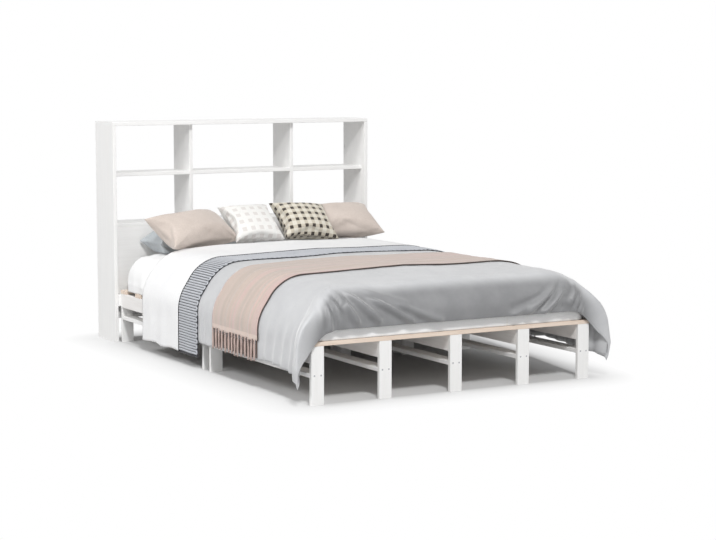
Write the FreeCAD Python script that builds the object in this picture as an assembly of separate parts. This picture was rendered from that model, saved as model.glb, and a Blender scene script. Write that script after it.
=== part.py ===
"""Bookcase headboard bed, 140 x 200, white painted pine, made up with its bedding.

Everything is in millimetres. While the bed is laid out, X = 0 is its centre plane,
Y = 0 the front face of the foot legs, Y grows towards the headboard, and Z = 0 is
the floor. Each piece is moved to the bed's own frame when it is written: the origin
is then the bottom centre of the made-up bed.
"""
import FreeCAD
import Part
import math
import os

V = FreeCAD.Vector

# ---------------------------------------------------------------- boards
board = 18.0                    # thickness of every pine board
stock_width = 60.0              # legs, lower rails and slats share one width
edge_break = 1.5                # eased edges of legs, rails, slats and panels

# ---------------------------------------------------------------- base
base_width = 1410.0
section_length = 995.0          # each of the two halves of the base
leg_height = 247.0
inner_row_pitch = 351.0         # middle row to the rows beside it
tie_board_width = 60.0          # lies flat between the two halves
upper_rail_height = 70.0
lower_rail_underside = 116.0
slats_per_section = 6

# ---------------------------------------------------------------- headboard
headboard_height = 1112.0
headboard_depth = 236.0
side_gap = 13.0                 # side of the base to the side panel's inner face
recess = 36.0                   # shelves stand this far behind the side panels' fronts
middle_shelf_top = 856.0
bottom_shelf_top = 600.0
centre_bay_width = 565.0
lower_panel_underside = 117.0
fixing_rail_height = 60.0
fixing_rail_drop = 5.0          # top of the legs to the top of the fixing rail

# ---------------------------------------------------------------- fasteners
screw_radius = 2.25
screw_head_radius = 4.2
screw_head_depth = 2.6
rail_screw_length = 55.0
rail_screw_spacing = 31.0
short_screw_length = 45.0
dowel_radius = 4.0
dowel_length = 34.0
dowel_in_face = 10.0            # how far a dowel goes into the face of a board
dowel_inset = 40.0              # dowel to the front or back edge of a shelf
shown_sides = 12                # flat sides of the screws that show
hidden_sides = 6                # and of the fasteners that never do

# ---------------------------------------------------------------- mattress and fitted sheet
clearance = 0.3                 # between soft pieces, and under them
mattress_side_play = 5.0        # side of the base to the mattress
mattress_setback = 8.0          # front face of the foot legs to the mattress
mattress_head_play = 42.0       # mattress to the back of the head legs
mattress_height = 185.0
mattress_side_height = 35.0     # upright part of its side
mattress_shoulder = 105.0       # width of the soft shoulder beside the flat top
mattress_end_height = 100.0     # upright part of its ends
mattress_end_shoulder = 52.0
mattress_corner = 60.0
mattress_bend = 100.0           # bends of its cross-section
mattress_end_bend = 60.0        # and of its lengthwise section
sheet_thickness = 3.0
lining_air = 0.4                # fitted sheet to the duvet's lining

# ---------------------------------------------------------------- duvet
duvet_side = 21.0               # thickness where it hangs
duvet_air = 1.0                 # hanging duvet to the side of the base
duvet_foot_air = 2.0
duvet_shoulder_lift = 12.0      # its shoulder starts higher than the mattress's
duvet_shoulder_out = 18.0
duvet_loft = 35.0               # thickness at the shoulder
duvet_crown = 18.0              # more at the centre
duvet_foot_front = 20.0
duvet_foot_loft = 28.0
duvet_foot_out = 5.0
duvet_foot_slope = 42.0         # the top falls this much over the last stretch
duvet_foot_run = 445.0
duvet_corner = 45.0
duvet_head_gap = 318.0          # head end of the mattress to the duvet
tongue_left = -85.0             # the stretch of its head edge that lies under the pillows
tongue_right = 690.0
tongue_length = 190.0
tongue_slant = 60.0
duvet_side_hem = 125.0          # height of the hem above the floor
duvet_foot_hem_lift = 43.0      # slats to the hem across the foot
fold_radius = 15.0              # the folds of the hanging side, near the foot
fold_rise = 18.0                # they run out this far up the shoulder
fold_places = (108.0, 190.0, 292.0, 392.0)
corner_hem = 92.0               # the flared corners hang lower than the sides
corner_reach = 58.0             # how far the corners stand out
corner_spread = 105.0           # where the flare starts, from the corner
flare_full_height = 70.0        # hem to where the flare reaches furthest
flare_top_height = 85.0         # shoulder of the duvet to the top of the flare
flare_top_side_in = 46.0        # the flare's top, in from the duvet's side
flare_top_foot_in = 12.0        # and from its foot
flare_tip = 8.0
flare_side_in = 3.0
flare_foot_in = 1.0
foot_hem_run = 90.0             # the foot hem is level but for this much at each end
foot_hem_drop = 6.0
foot_hem_depth = 40.0           # where it turns down beside the outer legs
foot_hem_in = 18.0
foot_hem_low_in = 4.0
side_bend = 190.0               # bends of its cross-section, side and shoulder
shoulder_bend = 200.0
crown_bend = 6000.0
foot_bend = 100.0               # and of its lengthwise section
foot_shoulder_bend = 110.0

# ---------------------------------------------------------------- blanket with its ribbed border
blanket_thickness = 6.0
blanket_width = 640.0           # along the bed, with its border
blanket_over_duvet = 10.0       # its head edge passes the duvet's
border_width = 210.0
blanket_hem = 62.0

# ---------------------------------------------------------------- throw with its fringe
throw_thickness = 5.0
throw_gap = 160.0               # throw to the blanket's border
throw_width = 460.0
throw_hem = 215.0
tassels_per_side = 14
tassel_length = 97.0
tassel_width = 13.0
tassel_thickness = 7.0

# ---------------------------------------------------------------- pillows
# Each pillow's lower seam has its middle at x, this far short of the mattress's head end
# (setback) and this far above the mattress's flat top (lift).
pillow_waist = 0.06             # how far the sides draw in between the corners
pillow_seam = 7.0
cushion_thickness = 95.0
check_length = 320.0
check_height = 266.0
check_x = 246.0
check_setback = 240.0
check_lift = 53.2
plaid_length = 285.0
plaid_height = 272.0
plaid_x = -61.0
plaid_setback = 263.0
plaid_lift = 55.6
beige_length = 445.0
left_beige_height = 260.0
left_beige_thickness = 120.0
left_beige_x = -372.0
left_beige_setback = 298.0
left_beige_lift = 60.4
right_beige_height = 270.0
right_beige_thickness = 110.0
right_beige_x = 480.0
right_beige_setback = 194.0
right_beige_lift = 57.9
blue_length = 500.0
blue_height = 280.0
blue_thickness = 110.0
blue_x = -345.0
blue_setback = 213.0
blue_lift = 58.0

# ---------------------------------------------------------------- worked out from these
slat_top = leg_height + board
base_length = 2 * section_length + tie_board_width
half_base = base_width / 2
row_centres = (
    -half_base + stock_width / 2,
    -inner_row_pitch,
    0.0,
    inner_row_pitch,
    half_base - stock_width / 2,
)
section_starts = (0.0, section_length + tie_board_width)
rail_length = section_length - 2 * board
upper_rail_underside = leg_height - upper_rail_height

side_panel_inner = half_base + side_gap
side_panel_outer = side_panel_inner + board
headboard_back = base_length + headboard_depth
shelf_front = base_length + recess
half_bay = centre_bay_width / 2

mattress_half = half_base - mattress_side_play
mattress_foot = mattress_setback
mattress_head = base_length - mattress_head_play
mattress_top = slat_top + clearance + mattress_height
bed_top = mattress_top + duvet_loft + duvet_crown

duvet_head_end = mattress_head - duvet_head_gap
blanket_head_end = duvet_head_end + blanket_over_duvet
border_start = blanket_head_end - blanket_width
throw_start = border_start - throw_gap - throw_width

pieces = {}
holes = {}


def put(node, *solids):
    """Adds solids to a named piece."""
    pieces.setdefault(node, []).extend(solids)


def block(x0, x1, y0, y1, z0, z1):
    return Part.makeBox(x1 - x0, y1 - y0, z1 - z0, V(x0, y0, z0))


def eased_board(x0, x1, y0, y1, z0, z1):
    """A board whose four long edges are eased."""
    solid = block(x0, x1, y0, y1, z0, z1)
    spans = (x1 - x0, y1 - y0, z1 - z0)
    longest = max(spans)
    long_edges = [edge for edge in solid.Edges if abs(edge.Length - longest) < 1e-6]
    return solid.makeChamfer(edge_break, long_edges)


# ---------------------------------------------------------------- fasteners

def faceted_solid(rings):
    """A closed solid with flat faces through rings of points, one after another."""
    faces = [Part.Face(Part.makePolygon(ring + ring[:1])) for ring in (rings[0], rings[-1])]
    for near, far in zip(rings, rings[1:]):
        for k in range(len(near)):
            corners = [near[k - 1], near[k], far[k], far[k - 1], near[k - 1]]
            faces.append(Part.Face(Part.makePolygon(corners)))
    solid = Part.Solid(Part.Shell(faces))
    if solid.Volume < 0:
        solid.reverse()
    return solid


def turned(start, direction, profile, sides):
    """A straight turned piece from its profile, a list of (distance along, radius)."""
    axis = V(*direction)
    across = V(0, 0, 1) if abs(axis.z) < 0.5 else V(1, 0, 0)
    other = axis.cross(across)
    rings = []
    for along, radius in profile:
        ring = []
        for k in range(sides):
            turn = 2 * math.pi * (k + 0.5) / sides
            offset = across * (radius * math.cos(turn)) + other * (radius * math.sin(turn))
            ring.append(start + axis * along + offset)
        rings.append(ring)
    return faceted_solid(rings)


def screw(start, direction, length, sides=hidden_sides):
    """A countersunk wood screw, head flush with the face at start."""
    profile = ((0.0, screw_head_radius), (screw_head_depth, screw_radius), (length, screw_radius))
    return turned(start, direction, profile, sides)


def fasten(node, solid, boards):
    """Adds a fastener, and its hole in each board that it goes through."""
    put(node, solid)
    for name in boards:
        holes.setdefault(name, []).append(solid)


def dowel(node, joint, direction, boards):
    """A dowel across a joint: direction points out of the board it meets face on."""
    axis = V(*direction)
    start = joint - axis * dowel_in_face
    profile = ((0.0, dowel_radius), (dowel_length, dowel_radius))
    solid = turned(start, direction, profile, hidden_sides)
    fasten(node, solid, boards)


# ---------------------------------------------------------------- base

def add_leg(node, centre, y0):
    left = centre - stock_width / 2
    put(node, eased_board(left, left + stock_width, y0, y0 + board, 0, leg_height))


def add_rail_screws(centre, face_y, way, leg, rail, sides):
    z = lower_rail_underside + board / 2
    for offset in (-rail_screw_spacing / 2, rail_screw_spacing / 2):
        start = V(centre + offset, face_y, z)
        fasten("lower_rail_screws", screw(start, (0, way, 0), rail_screw_length, sides),
               (leg, rail))


def add_row(number, centre):
    """One lengthwise row: four legs, two upper rails and two lower rails."""
    left = centre - stock_width / 2
    legs = (
        (f"foot_leg_{number}", f"inner_legs_{number}"),
        (f"inner_legs_{number}", f"head_leg_{number}"),
    )
    upper = f"upper_rails_row_{number}"
    lower = f"lower_rails_row_{number}"
    for section, start in enumerate(section_starts):
        near_leg, far_leg = legs[section]
        near = start + board
        far = near + rail_length
        add_leg(near_leg, centre, start)
        add_leg(far_leg, centre, far)
        put(upper, eased_board(left, left + board, near, far, upper_rail_underside, leg_height))
        put(lower, eased_board(left, left + stock_width, near, far,
                               lower_rail_underside, lower_rail_underside + board))
        shows = near_leg.startswith("foot")
        add_rail_screws(centre, start, 1, near_leg, lower,
                        shown_sides if shows else hidden_sides)
        add_rail_screws(centre, far + board, -1, far_leg, lower, hidden_sides)
        dowel_z = (upper_rail_underside + leg_height) / 2
        dowel("upper_rail_dowels", V(left + board / 2, near, dowel_z), (0, 1, 0),
              (near_leg, upper))
        dowel("upper_rail_dowels", V(left + board / 2, far, dowel_z), (0, -1, 0),
              (far_leg, upper))


def add_tie_board():
    """The board that joins the two halves, screwed between the inner legs."""
    y0 = section_length
    y1 = y0 + tie_board_width
    put("centre_tie_board",
        eased_board(-half_base, half_base, y0, y1, leg_height - board, leg_height))
    z = leg_height - board / 2
    for number, centre in enumerate(row_centres, 1):
        x = centre + stock_width / 4
        for face_y, way in ((y0 - board, 1), (y1 + board, -1)):
            fasten("tie_board_screws",
                   screw(V(x, face_y, z), (0, way, 0), short_screw_length),
                   (f"inner_legs_{number}", "centre_tie_board"))


def add_slats():
    pitch = (section_length - stock_width) / (slats_per_section - 1)
    names = ("slats_foot_half", "slats_head_half")
    outer_rows = ((1, row_centres[0]), (5, row_centres[4]))
    for name, start in zip(names, section_starts):
        for k in range(slats_per_section):
            y0 = start + k * pitch
            put(name, eased_board(-half_base, half_base, y0, y0 + stock_width,
                                  leg_height, slat_top))
            for number, centre in outer_rows:
                # The end slats lie over a leg, so their screws go in beside it.
                y = min(max(y0 + stock_width / 2, start + board + stock_width / 4),
                        start + section_length - board - stock_width / 4)
                x = centre - stock_width / 2 + board / 2
                fasten("slat_screws",
                       screw(V(x, y, slat_top), (0, 0, -1), short_screw_length),
                       (name, f"upper_rails_row_{number}"))


# ---------------------------------------------------------------- headboard

def add_headboard():
    back = headboard_back
    inner = side_panel_inner
    panel_top = headboard_height - board
    for name, side in (("side_panel_left", -1), ("side_panel_right", 1)):
        x0, x1 = sorted((side * inner, side * side_panel_outer))
        put(name, eased_board(x0, x1, base_length, back, 0, panel_top))
    put("top_board", eased_board(-side_panel_outer, side_panel_outer, base_length, back,
                                 panel_top, headboard_height))
    put("bottom_shelf", eased_board(-inner, inner, shelf_front, back,
                                    bottom_shelf_top - board, bottom_shelf_top))
    for name, side in (("divider_left", -1), ("divider_right", 1)):
        x0, x1 = sorted((side * half_bay, side * (half_bay + board)))
        put(name, eased_board(x0, x1, shelf_front, back, bottom_shelf_top, panel_top))
    bays = (
        ("middle_shelf_left", -inner, -half_bay - board, "side_panel_left", "divider_left"),
        ("middle_shelf_centre", -half_bay, half_bay, "divider_left", "divider_right"),
        ("middle_shelf_right", half_bay + board, inner, "divider_right", "side_panel_right"),
    )
    dowel_ys = (shelf_front + dowel_inset, back - dowel_inset)
    shelf_mid = middle_shelf_top - board / 2
    for name, x0, x1, left_upright, right_upright in bays:
        put(name, eased_board(x0, x1, shelf_front, back,
                              middle_shelf_top - board, middle_shelf_top))
        for y in dowel_ys:
            # The centre shelf's dowels stand nearer the middle, clear of its neighbours'.
            shift = dowel_inset / 2 if name == "middle_shelf_centre" else 0.0
            row_y = y + shift if y < back - headboard_depth / 2 else y - shift
            dowel("shelf_dowels", V(x0, row_y, shelf_mid), (1, 0, 0), (left_upright, name))
            dowel("shelf_dowels", V(x1, row_y, shelf_mid), (-1, 0, 0), (right_upright, name))
    put("lower_front_panel", eased_board(-inner, inner, shelf_front, shelf_front + board,
                                         lower_panel_underside, bottom_shelf_top - board))
    rail_top = leg_height - fixing_rail_drop
    put("fixing_rail", eased_board(-inner, inner, base_length, shelf_front,
                                   rail_top - fixing_rail_height, rail_top))
    add_carcass_dowels(dowel_ys, panel_top)
    add_fixing_screws(rail_top - fixing_rail_height / 2)


def add_carcass_dowels(dowel_ys, panel_top):
    node = "carcass_dowels"
    for name, side in (("left", -1), ("right", 1)):
        panel = f"side_panel_{name}"
        divider = f"divider_{name}"
        panel_x = side * (side_panel_inner + board / 2)
        divider_x = side * (half_bay + board / 2)
        for y in dowel_ys:
            dowel(node, V(panel_x, y, panel_top), (0, 0, -1), ("top_board", panel))
            dowel(node, V(divider_x, y, panel_top), (0, 0, -1), ("top_board", divider))
            dowel(node, V(divider_x, y, bottom_shelf_top), (0, 0, 1), ("bottom_shelf", divider))
            dowel(node, V(side * side_panel_inner, y, bottom_shelf_top - board / 2),
                  (-side, 0, 0), (panel, "bottom_shelf"))
        panel_span = bottom_shelf_top - board - lower_panel_underside
        for share in (0.2, 0.8):
            z = lower_panel_underside + share * panel_span
            dowel(node, V(side * side_panel_inner, shelf_front + board / 2, z),
                  (-side, 0, 0), (panel, "lower_front_panel"))


def add_fixing_screws(z):
    """Screws from the head legs, and from the lower front panel, into the fixing rail."""
    for number, centre in enumerate(row_centres, 1):
        start = V(centre + stock_width / 4, base_length - board, z)
        fasten("fixing_rail_screws",
               screw(start, (0, 1, 0), short_screw_length),
               (f"head_leg_{number}", "fixing_rail"))
    for x in (-inner_row_pitch * 1.5, -inner_row_pitch / 2,
              inner_row_pitch / 2, inner_row_pitch * 1.5):
        start = V(x, shelf_front + board, z)
        fasten("fixing_rail_screws",
               screw(start, (0, -1, 0), short_screw_length),
               ("lower_front_panel", "fixing_rail"))


# ---------------------------------------------------------------- soft forms

def offset_chain(points, grow):
    """Moves a chain of (a, b) points outwards, to the left of its direction of travel."""
    normals = []
    for (a0, b0), (a1, b1) in zip(points, points[1:]):
        length = math.hypot(a1 - a0, b1 - b0)
        normals.append((-(b1 - b0) / length, (a1 - a0) / length))
    moved = [(points[0][0] + normals[0][0] * grow, points[0][1] + normals[0][1] * grow)]
    for (n0, n1), (a, b) in zip(zip(normals, normals[1:]), points[1:-1]):
        scale = grow / (1 + n0[0] * n1[0] + n0[1] * n1[1])
        moved.append((a + (n0[0] + n1[0]) * scale, b + (n0[1] + n1[1]) * scale))
    moved.append((points[-1][0] + normals[-1][0] * grow,
                  points[-1][1] + normals[-1][1] * grow))
    return moved


def rounded_wire(points, radii, place):
    """A closed wire through points, each corner rounded by its radius; place makes vectors."""
    vectors = [place(a, b) for a, b in points]
    count = len(vectors)
    starts = []
    ends = []
    middles = []
    for k, corner in enumerate(vectors):
        before = (vectors[k - 1] - corner).normalize()
        after = (vectors[(k + 1) % count] - corner).normalize()
        half_angle = before.getAngle(after) / 2
        radius = radii[k]
        if radius == 0:
            starts.append(corner)
            ends.append(corner)
            middles.append(None)
            continue
        reach = radius / math.tan(half_angle)
        starts.append(corner + before * reach)
        ends.append(corner + after * reach)
        bisector = (before + after).normalize()
        middles.append(corner + bisector * (radius / math.sin(half_angle) - radius))
    edges = []
    for k in range(count):
        if middles[k] is not None:
            edges.append(Part.Arc(starts[k], middles[k], ends[k]).toShape())
        follow = starts[(k + 1) % count]
        if ends[k].distanceToPoint(follow) > 1e-6:
            edges.append(Part.LineSegment(ends[k], follow).toShape())
    return Part.Wire(edges)


def across_form(chain, radii, grow, low, y0, y1):
    """A solid with a humped cross-section, chain in (x, z), from y0 to y1."""
    moved = offset_chain(chain, grow)
    moved[0] = (moved[0][0], low)
    moved[-1] = (moved[-1][0], low)
    grown = [0.0] + [radius + grow for radius in radii] + [0.0]
    wire = rounded_wire(moved, grown, lambda x, z: V(x, y0, z))
    return Part.Face(wire).extrude(V(0, y1 - y0, 0))


def along_form(chain, radii, grow, low, half_width):
    """A solid with a humped lengthwise section, chain in (y, z)."""
    moved = offset_chain(chain, grow)
    moved[0] = (moved[0][0], low)
    moved[-1] = (moved[-1][0], low)
    grown = [0.0] + [radius + grow for radius in radii] + [0.0]
    wire = rounded_wire(moved, grown, lambda y, z: V(-half_width, y, z))
    return Part.Face(wire).extrude(V(2 * half_width, 0, 0))


def plan_prism(half_width, y0, y1, radius, low, high):
    """An upright block with rounded corners."""
    corners = [(-half_width, y0), (-half_width, y1), (half_width, y1), (half_width, y0)]
    wire = rounded_wire(corners, [radius] * 4, lambda x, y: V(x, y, low))
    return Part.Face(wire).extrude(V(0, 0, high - low))


# The mattress's cross-section and lengthwise section, left to right and foot to head.
mattress_flat = mattress_half - mattress_shoulder
mattress_side_top = slat_top + clearance + mattress_side_height
mattress_end_top = slat_top + clearance + mattress_end_height
mattress_chain = [
    (-mattress_half, slat_top),
    (-mattress_half, mattress_side_top),
    (-mattress_flat, mattress_top),
    (mattress_flat, mattress_top),
    (mattress_half, mattress_side_top),
    (mattress_half, slat_top),
]
mattress_radii = (mattress_bend,) * 4
mattress_end_chain = [
    (mattress_foot, slat_top),
    (mattress_foot, mattress_end_top),
    (mattress_foot + mattress_end_shoulder, mattress_top),
    (mattress_head - mattress_end_shoulder, mattress_top),
    (mattress_head, mattress_end_top),
    (mattress_head, slat_top),
]
mattress_end_radii = (mattress_end_bend,) * 4


def mattress_form(grow, low):
    """The mattress, grown all round, down to a given height."""
    across = across_form(mattress_chain, mattress_radii, grow, low,
                         mattress_foot - grow, mattress_head + grow)
    along = along_form(mattress_end_chain, mattress_end_radii, grow, low,
                       mattress_half + grow)
    plan = plan_prism(mattress_half + grow, mattress_foot - grow, mattress_head + grow,
                      mattress_corner + grow, low, mattress_top + grow)
    return across.common(along).common(plan).removeSplitter()


def add_mattress():
    put("mattress", mattress_form(0.0, slat_top + clearance).Solids[0])
    skin = mattress_form(clearance + sheet_thickness, slat_top + clearance)
    core = mattress_form(clearance, slat_top - 1.0)
    put("fitted_sheet", skin.cut(core).removeSplitter().Solids[0])


# The duvet's outer cross-section and the lengthwise section of its foot end.
duvet_half = half_base + duvet_air + duvet_side
duvet_side_top = mattress_side_top + duvet_shoulder_lift
duvet_flat = mattress_flat + duvet_shoulder_out
duvet_chain = [
    (-duvet_half, 0.0),
    (-duvet_half, duvet_side_top),
    (-duvet_flat, mattress_top + duvet_loft),
    (0.0, bed_top),
    (duvet_flat, mattress_top + duvet_loft),
    (duvet_half, duvet_side_top),
    (duvet_half, 0.0),
]
duvet_radii = (side_bend, shoulder_bend, crown_bend, shoulder_bend, side_bend)
duvet_foot = -duvet_foot_air - duvet_side
duvet_foot_shoulder = mattress_foot + mattress_end_shoulder - duvet_foot_out
duvet_far = mattress_head
duvet_far_top = mattress_top + duvet_foot_loft + duvet_foot_slope
duvet_end_chain = [
    (duvet_foot, 0.0),
    (duvet_foot, mattress_end_top + duvet_foot_front),
    (duvet_foot_shoulder, mattress_top + duvet_foot_loft),
    (duvet_foot_shoulder + duvet_foot_run, duvet_far_top),
    (duvet_far, duvet_far_top),
    (duvet_far, 0.0),
]
duvet_end_radii = (foot_bend, foot_shoulder_bend, 0.0, 0.0)


def corner_flare(side):
    """The corner of the duvet, which flares out past the foot corner of the base.

    Each ring goes round the flare at one height. Its points are measured inwards from
    the duvet's own corner, along the side and along the foot.
    """
    stations = (
        (corner_hem, 0.8 * corner_reach, 0.3 * corner_spread, 0.0, 0.0),
        (corner_hem + flare_full_height, corner_reach, 0.7 * corner_spread, 0.0, 0.0),
        (duvet_side_top - flare_full_height, 0.8 * corner_reach, 0.9 * corner_spread, 0.0, 0.0),
        (duvet_side_top, 0.45 * corner_reach, corner_spread, flare_side_in, flare_foot_in),
        (duvet_side_top + flare_top_height, -0.1 * corner_reach, corner_spread,
         flare_top_side_in, flare_top_foot_in),
    )
    rings = []
    for z, out, spread, side_in, foot_in in stations:
        outline = (
            (spread, spread),
            (0.0, spread),
            (-0.55 * out, 0.4 * spread),
            (-out, flare_tip - out),
            (flare_tip - out, -out),
            (0.4 * spread, -0.55 * out),
            (spread, 0.0),
        )
        points = [V(side * (duvet_half - side_in - a), duvet_foot + foot_in + b, z)
                  for a, b in outline]
        rings.append(Part.makePolygon(points + points[:1]))
    return Part.makeLoft(rings, True, True)


def add_duvet():
    """Hangs at both sides, covers the foot, and lies on the fitted sheet."""
    across = across_form(duvet_chain, duvet_radii, 0.0, duvet_side_hem, duvet_foot, duvet_far)
    along = along_form(duvet_end_chain, duvet_end_radii, 0.0, duvet_side_hem, duvet_half)
    plan = plan_prism(duvet_half, duvet_foot, duvet_far + duvet_corner, duvet_corner,
                      duvet_side_hem, bed_top + 1.0)
    outer = across.common(along).common(plan)
    lining = mattress_form(clearance + sheet_thickness + lining_air, slat_top - 1.0)
    base_room = block(-half_base - duvet_air, half_base + duvet_air, -duvet_foot_air,
                      duvet_far + 1.0, 0.0, slat_top + mattress_side_height / 2)
    foot_hem = slat_top + duvet_foot_hem_lift
    hem_corner = half_base - stock_width
    front_cut = [
        (-half_base + foot_hem_low_in, 0.0),
        (-half_base + foot_hem_in, leg_height - foot_hem_depth),
        (-hem_corner, foot_hem - foot_hem_drop),
        (-hem_corner + foot_hem_run, foot_hem),
        (hem_corner - foot_hem_run, foot_hem),
        (hem_corner, foot_hem - foot_hem_drop),
        (half_base - foot_hem_in, leg_height - foot_hem_depth),
        (half_base - foot_hem_low_in, 0.0),
    ]
    front_start = duvet_foot - corner_reach - 1.0
    front_wire = rounded_wire(front_cut, [0.0] * len(front_cut),
                              lambda x, z: V(x, front_start, z))
    front_room = Part.Face(front_wire).extrude(V(0, -front_start, 0))
    outside = duvet_half + 1.0
    past = duvet_far + duvet_corner + 1.0
    head_line = [(-outside, past)]
    head_line += [(-outside, duvet_head_end), (tongue_left, duvet_head_end),
                  (tongue_left + tongue_slant, duvet_head_end + tongue_length),
                  (tongue_right - tongue_slant, duvet_head_end + tongue_length),
                  (tongue_right, duvet_head_end), (outside, duvet_head_end)]
    head_line += [(outside, past)]
    head_wire = rounded_wire(head_line, [0.0] * len(head_line), lambda x, y: V(x, y, 0.0))
    beyond = Part.Face(head_wire).extrude(V(0, 0, bed_top + 1.0))
    duvet = outer
    fold_top = duvet_side_top + fold_rise
    for side in (-1, 1):
        for y in fold_places:
            profile = ((0.0, fold_radius), (fold_top - duvet_side_hem, fold_radius / 5))
            fold = turned(V(side * duvet_half, y, duvet_side_hem), (0, 0, 1), profile,
                          hidden_sides)
            duvet = duvet.fuse(fold)
        duvet = duvet.fuse(corner_flare(side))
    for tool in (lining, base_room, front_room, beyond):
        duvet = duvet.cut(tool)
    put("duvet", max(duvet.removeSplitter().Solids, key=lambda solid: solid.Volume))


def draped_band(thickness, hem, y0, y1):
    """A cloth that lies across the duvet and hangs at both sides."""
    outer = across_form(duvet_chain, duvet_radii, clearance + thickness, hem, y0, y1)
    inner = across_form(duvet_chain, duvet_radii, clearance, hem - 1.0, y0 - 1.0, y1 + 1.0)
    return outer.cut(inner).removeSplitter().Solids[0]


def add_blanket():
    border_end = border_start + border_width
    put("blanket_ribbed_border",
        draped_band(blanket_thickness, blanket_hem, border_start, border_end))
    put("blanket", draped_band(blanket_thickness, blanket_hem, border_end + clearance,
                               blanket_head_end))


def add_throw():
    throw_end = throw_start + throw_width
    put("throw", draped_band(throw_thickness, throw_hem, throw_start, throw_end))
    pitch = throw_width / tassels_per_side
    inner_x = duvet_half + clearance
    for side in (-1, 1):
        for k in range(tassels_per_side):
            y = throw_start + (k + 0.5) * pitch
            rings = []
            for z, width, depth in ((throw_hem, tassel_width * 0.7, throw_thickness),
                                    (throw_hem - tassel_length, tassel_width, tassel_thickness)):
                x0, x1 = sorted((side * inner_x, side * (inner_x + depth)))
                corners = ((x0, y - width / 2), (x1, y - width / 2),
                           (x1, y + width / 2), (x0, y + width / 2), (x0, y - width / 2))
                rings.append(Part.makePolygon([V(a, b, z) for a, b in corners]))
            put("throw_fringe", Part.makeLoft(rings, True, True))


# ---------------------------------------------------------------- pillows

pillow_spans = (-1.0, -0.86, -0.58, -0.2, 0.2, 0.58, 0.86, 1.0)
pillow_rises = (-1.0, -0.82, -0.42, 0.0, 0.42, 0.82, 1.0)


def pillow(length, height, thickness):
    """A filled case: crowned faces, drawn-in sides and corners that stand out.

    It stands on its lower seam at the origin, faces -Y and is centred on X.
    """
    def place(span, rise, face):
        x = span * length / 2 * (1 - pillow_waist * (1 - rise * rise))
        z = height / 2 * (1 + rise * (1 - pillow_waist * (1 - span * span)))
        fill = ((1 - abs(span) ** 3) * (1 - abs(rise) ** 3)) ** 0.6
        half = pillow_seam / 2 + (thickness - pillow_seam) / 2 * fill
        return V(x, face * half, z)

    def flat(*corners):
        return Part.Face(Part.makePolygon([*corners, corners[0]]))

    faces = []
    for s0, s1 in zip(pillow_spans, pillow_spans[1:]):
        for r0, r1 in zip(pillow_rises, pillow_rises[1:]):
            for face in (-1, 1):
                a, b = place(s0, r0, face), place(s1, r0, face)
                c, d = place(s1, r1, face), place(s0, r1, face)
                if (s0 + s1) * (r0 + r1) > 0:
                    faces += [flat(a, b, d), flat(b, c, d)]
                else:
                    faces += [flat(a, b, c), flat(a, c, d)]
    for s0, s1 in zip(pillow_spans, pillow_spans[1:]):
        for rise in (-1, 1):
            faces.append(flat(place(s0, rise, -1), place(s1, rise, -1),
                              place(s1, rise, 1), place(s0, rise, 1)))
    for r0, r1 in zip(pillow_rises, pillow_rises[1:]):
        for span in (-1, 1):
            faces.append(flat(place(span, r0, -1), place(span, r1, -1),
                              place(span, r1, 1), place(span, r0, 1)))
    shell = Part.Shell(faces)
    shell.sewShape()
    solid = Part.Solid(shell)
    if solid.Volume < 0:
        solid.reverse()
    return solid


def add_pillows():
    """The five pillows; each one is hollowed where the one before it presses in."""
    placed = []
    for node, size, lean, roll, turn, x, setback, lift in (
        ("cushion_dark_check", (check_length, check_height, cushion_thickness),
         50.0, 5.0, 4.0, check_x, check_setback, check_lift),
        ("cushion_pale_plaid", (plaid_length, plaid_height, cushion_thickness),
         52.0, -1.0, 0.0, plaid_x, plaid_setback, plaid_lift),
        ("pillow_beige_left", (beige_length, left_beige_height, left_beige_thickness),
         59.0, -3.5, 15.0, left_beige_x, left_beige_setback, left_beige_lift),
        ("pillow_beige_right", (beige_length, right_beige_height, right_beige_thickness),
         60.0, -2.0, -5.0, right_beige_x, right_beige_setback, right_beige_lift),
        ("pillow_grey_blue", (blue_length, blue_height, blue_thickness),
         90.0, 0.0, 0.0, blue_x, blue_setback, blue_lift),
    ):
        solid = pillow(*size)
        solid.rotate(V(0, 0, 0), V(0, 1, 0), roll)
        solid.rotate(V(0, 0, 0), V(1, 0, 0), -lean)
        solid.rotate(V(0, 0, 0), V(0, 0, 1), turn)
        solid.translate(V(x, mattress_head - setback, mattress_top + lift))
        for other in placed:
            if solid.common(other).Volume > 1.0:
                solid = max(solid.cut(other).Solids, key=lambda part: part.Volume)
        placed.append(solid)
        put(node, solid)


# ---------------------------------------------------------------- the bed

for row_number, row_centre in enumerate(row_centres, 1):
    add_row(row_number, row_centre)
add_tie_board()
add_slats()
add_headboard()
add_mattress()
add_duvet()
add_blanket()
add_throw()
add_pillows()

to_own_frame = V(0, -(duvet_foot - corner_reach + headboard_back) / 2, 0)

os.makedirs("parts", exist_ok=True)
for node_name, solids in pieces.items():
    cutters = holes.get(node_name, [])
    finished = []
    for part_solid in solids:
        near = [tool for tool in cutters if tool.BoundBox.intersect(part_solid.BoundBox)]
        if near:
            part_solid = part_solid.cut(Part.makeCompound(near)).Solids[0]
        finished.append(part_solid.copy())
    shape = finished[0] if len(finished) == 1 else Part.makeCompound(finished)
    shape.translate(to_own_frame)
    shape.exportStep(f"parts/{node_name}.step")
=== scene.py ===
"""Bookcase headboard bed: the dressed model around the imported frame.

Lengths inside the shape functions are millimetres in the bed's laid-out frame: X = 0 is
the centre plane, Y = 0 the front face of the foot legs, Z = 0 the floor. put_mesh() moves
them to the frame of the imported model.
"""
import math

import bpy
import numpy as np
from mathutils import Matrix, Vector, noise
from mathutils.bvhtree import BVHTree


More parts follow.
